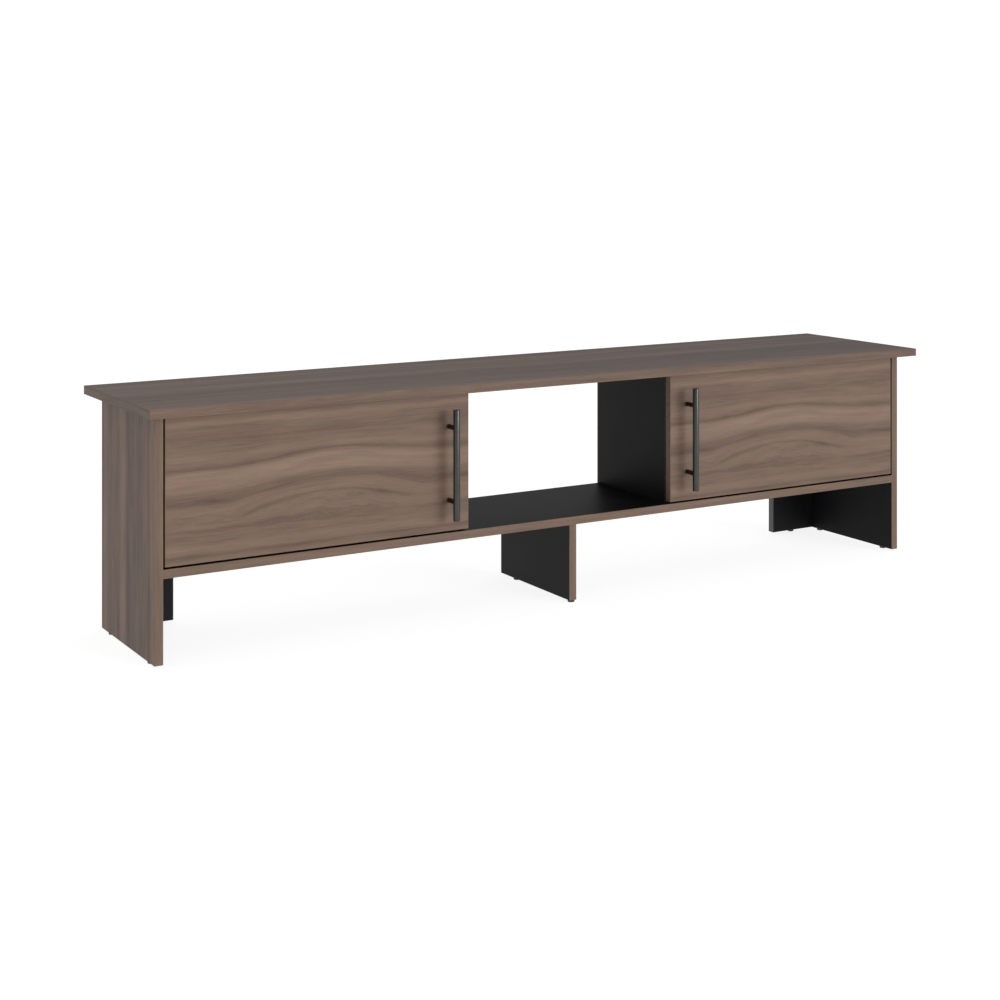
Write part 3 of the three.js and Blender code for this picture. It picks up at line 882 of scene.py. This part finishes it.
def make_hinge_cup(hinge, heads, looks):
    """Pressed cup in the door's back, with a rolled rim and a screw wing above and below."""
    wall, flange = CUP_WALL * MM, FLANGE * MM
    floor_round, rim_round, lip = 2 * MM, 0.5 * MM, 0.4 * MM
    inner = CUP_RADIUS - wall
    mouth = CUP_DEPTH + flange
    floor = Vector((hinge.cup_x, hinge.back - CUP_DEPTH, hinge.height))
    profile = [
        (0, 0), *rounded_end(CUP_RADIUS, 0, floor_round, -1), (CUP_RADIUS, CUP_DEPTH),
        (CUP_RADIUS + flange, CUP_DEPTH), *rounded_end(CUP_RADIUS + flange, mouth, rim_round, 1),
        (inner + lip, mouth), (inner, mouth - rim_round), (inner, wall + floor_round),
        (inner - floor_round, wall), (0, wall),
    ]
    bm = bmesh.new()
    add_turned(bm, profile, floor, Y, 64)

    ring = CUP_RADIUS / MM
    meet = math.degrees(math.acos(WING_HALF_WIDTH / ring))
    side_corner, far_corner = WING_HALF_WIDTH - WING_CORNER, WING_HALF_LENGTH - WING_CORNER
    outline = [
        *arc((side_corner, far_corner), WING_CORNER, 0, 90),
        *arc((-side_corner, far_corner), WING_CORNER, 90, 180),
        *arc((0, 0), ring, 180 - meet, meet, 12),
    ]
    for up, end in ((1, "top"), (-1, "bottom")):
        points = [Vector((hinge.cup_x + a * MM, hinge.back, hinge.height + up * b * MM)) for a, b in outline]
        add_plate(bm, points, flange * Y, 0.2 * MM)
        at = Vector((hinge.cup_x, hinge.back + flange, hinge.height + up * CUP_SCREW_FROM_MIDDLE * MM))
        place_head(
            f"{hinge.named('cup')}_screw_{end}", heads["small"], at, Y, f"{hinge.name}_door",
            turn=25 * up,
        )
    piece(
        hinge.named("cup") + "_pressed", bm, [looks["steel"]], f"{hinge.name}_door",
        [hinge.named("cup")], smooth=35,
    )


def make_hinge_arm(hinge, heads, looks):
    """Bent channel over the mounting plate, with the link's pin riveted through its cheeks."""
    u, v = LINK_PIVOT
    outer = ARM_WEB + ARM_SHEET
    chamfer = 0.5
    side_view = [
        *arc((u, v), ARM_NOSE, 180, 360), (outer, ARM_FRONT + 1), (outer, ARM_BACK - ARM_HEEL),
        *arc((outer - ARM_HEEL, ARM_BACK - ARM_HEEL), ARM_HEEL, 0, 90, 4),
        (ARM_FOOT + chamfer, ARM_BACK), (ARM_FOOT, ARM_BACK - chamfer), (ARM_FOOT, ARM_FRONT + 3),
    ]
    bm = bmesh.new()
    for low in (-ARM_HALF_HEIGHT, ARM_HALF_HEIGHT - ARM_SHEET):
        add_plate(bm, [hinge.at(a, b, low) for a, b in side_view], ARM_SHEET * MM * Z, 0.25 * MM)

    # the web's sides lie within the cheeks' sheet, and its face just below their edges, so no faces coincide
    web_half, web_face = ARM_HALF_HEIGHT - ARM_SHEET / 2, outer - 0.05
    corners = [
        hinge.at(ARM_WEB, ARM_FRONT + 0.3, -web_half), hinge.at(web_face, ARM_BACK - 1, web_half),
    ]
    low = Vector(min(a, b) for a, b in zip(*corners))
    high = Vector(max(a, b) for a, b in zip(*corners))
    add_box(bm, low, high, 0.2 * MM)

    length, seat, head = 2 * ARM_HALF_HEIGHT, 0.1, PIN_RADIUS * 1.5
    profile = [
        (0, -RIVET_HEIGHT), (PIN_RADIUS, -RIVET_HEIGHT), (head, 0), (PIN_RADIUS, seat),
        (PIN_RADIUS, length - seat), (head, length), (PIN_RADIUS, length + RIVET_HEIGHT),
        (0, length + RIVET_HEIGHT),
    ]
    add_turned(bm, [(r * MM, h * MM) for r, h in profile], hinge.at(u, v, -ARM_HALF_HEIGHT), Z, 24)
    piece(
        hinge.named("arm") + "_channel", bm, [looks["steel"]], "case", [hinge.named("arm")],
        smooth=35,
    )
    for i, depth in enumerate(ARM_SCREWS):
        place_head(
            f"{hinge.named('arm')}_screw_{i + 1}", heads["large"], hinge.at(outer, depth), hinge.inward,
            "case", turn=20 + 30 * i,
        )


def make_hinge_base(hinge, heads, looks):
    """Mounting plate: a rail on the side panel with a rounded wing above and below, one screw in each."""
    node_low, node_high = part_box(hinge.named("base"))
    panel = node_high.x if hinge.side > 0 else node_low.x
    half_height = RAIL_HALF_HEIGHT * MM
    rail_face = hinge.at(RAIL_FACE, RAIL_FRONT).x
    bm = bmesh.new()
    add_box(
        bm, (min(panel, rail_face), hinge.front + RAIL_FRONT * MM, hinge.height - half_height),
        (max(panel, rail_face), hinge.front + RAIL_BACK * MM, hinge.height + half_height), 0.6 * MM, 3,
    )
    across, along = PLATE_HALF_WIDTH - PLATE_CORNER, PLATE_HALF_LENGTH - PLATE_CORNER
    outline = [
        point
        for up, start in ((1, 0), (-1, 180))
        for point in (
            *arc((up * across, up * along), PLATE_CORNER, start, start + 90),
            *arc((-up * across, up * along), PLATE_CORNER, start + 90, start + 180),
        )
    ]
    points = [
        Vector((panel, hinge.front + (PLATE_MIDDLE + a) * MM, hinge.height + b * MM)) for a, b in outline
    ]
    thickness = PLATE_SHEET * MM * hinge.inward
    add_plate(bm, points, thickness, 0.4 * MM)
    piece(
        hinge.named("base") + "_plate", bm, [looks["steel"]], "case", [hinge.named("base")],
        smooth=35,
    )
    for i, up in enumerate((1, -1)):
        reach = up * PLATE_SCREW_FROM_MIDDLE * MM
        at = Vector((panel, hinge.front + PLATE_MIDDLE * MM, hinge.height + reach)) + thickness
        place_head(
            f"{hinge.named('base')}_screw_{i + 1}", heads["small"], at, hinge.inward, "case",
            turn=35 * up,
        )


# ---- The whole stand ----

make_camera()
make_stage()

LOOKS = {
    # the top's shift and bluish tint are painted sheen: a lighter, greyer-blue tone in the colour, as a
    # reflection would give; its fade darkens it towards the right end
    "top": walnut(
        "walnut_top_painted_sheen", "x", "y", TOP_BANDS, streaks=1.7, seed=20, roughness=0.42, stretch=2.5, shift=0.25,
        fade=-0.41, tint=(1.035, 1.0, 1.055),
    ),
    "side": walnut(
        "walnut_side", "z", "y", SIDE_BANDS, contrast=1.4, drift=1.5, streaks=1.4, seed=40, shift=-0.25,
        tint=(1.03, 0.97, 0.955),
    ),
    "left_door": walnut("walnut_left_door", "x", "z", DOOR_BANDS, door_figure(0, 0), drift=1.2),
    "right_door": walnut("walnut_right_door", "x", "z", DOOR_BANDS, door_figure(15, -5), drift=1.2),
    "edge_x": walnut("walnut_edge_across", "x", "z", seed=60),
    "edge_top": walnut("walnut_edge_top", "x", "z", seed=65, shift=-0.18),
    "edge_end": walnut("walnut_edge_end", "y", "z", seed=68, shift=-0.45),
    "edge_y": walnut("walnut_edge_deep", "y", "z", seed=70),
    "edge_z": walnut("walnut_edge_upright", "z", "x", seed=80),
    "black": black_board(),
    "grey_edge": plastic("grey_edge_band", (0.074, 0.072, 0.071), (0.090, 0.088, 0.087), 0.55),
    "raw": chipboard(),
    "hardboard": hardboard(),
    "handle": metal("black_metal", (0.060, 0.062, 0.059), (0.078, 0.080, 0.076), 0.3, (0.4, 0.4, 30)),
    "steel": metal("nickel_steel", (0.58, 0.58, 0.57), (0.74, 0.73, 0.71), 0.38, (3, 3, 3)),
    "zinc": metal("cast_zinc", (0.52, 0.53, 0.54), (0.66, 0.67, 0.68), 0.55, (0.8, 0.8, 0.8), 0.4),
    "foot": plastic("black_plastic", (0.012, 0.012, 0.012), (0.020, 0.020, 0.020), 0.5),
    "pad": plastic("clear_pad", (0.42, 0.42, 0.40), (0.50, 0.50, 0.47), 0.35),
}
make_boards(LOOKS)
for name, _ in SIDES:
    make_handle(name, LOOKS)
for node in sorted(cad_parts):
    if "_foot" in node:
        make_foot(node, LOOKS)
    if "_bumper" in node:
        make_bumper(node, LOOKS)

HEADS = {
    "small": head_mesh(
        "small_head", pan_profile(radius=3.4 * MM, height=1.5 * MM), LOOKS["steel"],
        slots=(2 * MM, 0.8 * MM, 1 * MM),
    ),
    "large": head_mesh(
        "large_head", pan_profile(radius=4.2 * MM, height=2 * MM), LOOKS["steel"],
        slots=(2.6 * MM, 1 * MM, 1.3 * MM),
    ),
    "flat": head_mesh(
        "flat_head", countersunk_profile(radius=5 * MM, depth=2 * MM), LOOKS["steel"],
        slots=(2.4 * MM, 1 * MM, 1.2 * MM),
    ),
    "cam": head_mesh(
        "cam_drum", drum_profile(CAM_RADIUS, CAM_DEPTH), LOOKS["zinc"], slots=(5 * MM, 1.8 * MM, 1.8 * MM),
    ),
    "nail": head_mesh("nail_head", pan_profile(radius=1.9 * MM, height=0.5 * MM), LOOKS["steel"]),
}
make_fixings(HEADS)
for name, side in SIDES:
    for end in ENDS:
        hinge = Hinge(name, side, end)
        make_hinge_cup(hinge, HEADS, LOOKS)
        make_hinge_arm(hinge, HEADS, LOOKS)
        make_hinge_base(hinge, HEADS, LOOKS)

# Looks of the CAD nodes, by a word in their names. Those that a piece replaces aren't shown.
CARRIED = {"hinge": "steel", "screw": "steel", "cam_lock": "zinc", "bumper": "pad"}
for node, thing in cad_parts.items():
    for word, look in CARRIED.items():
        if word in node:
            thing.data.materials.clear()
            thing.data.materials.append(LOOKS[look])
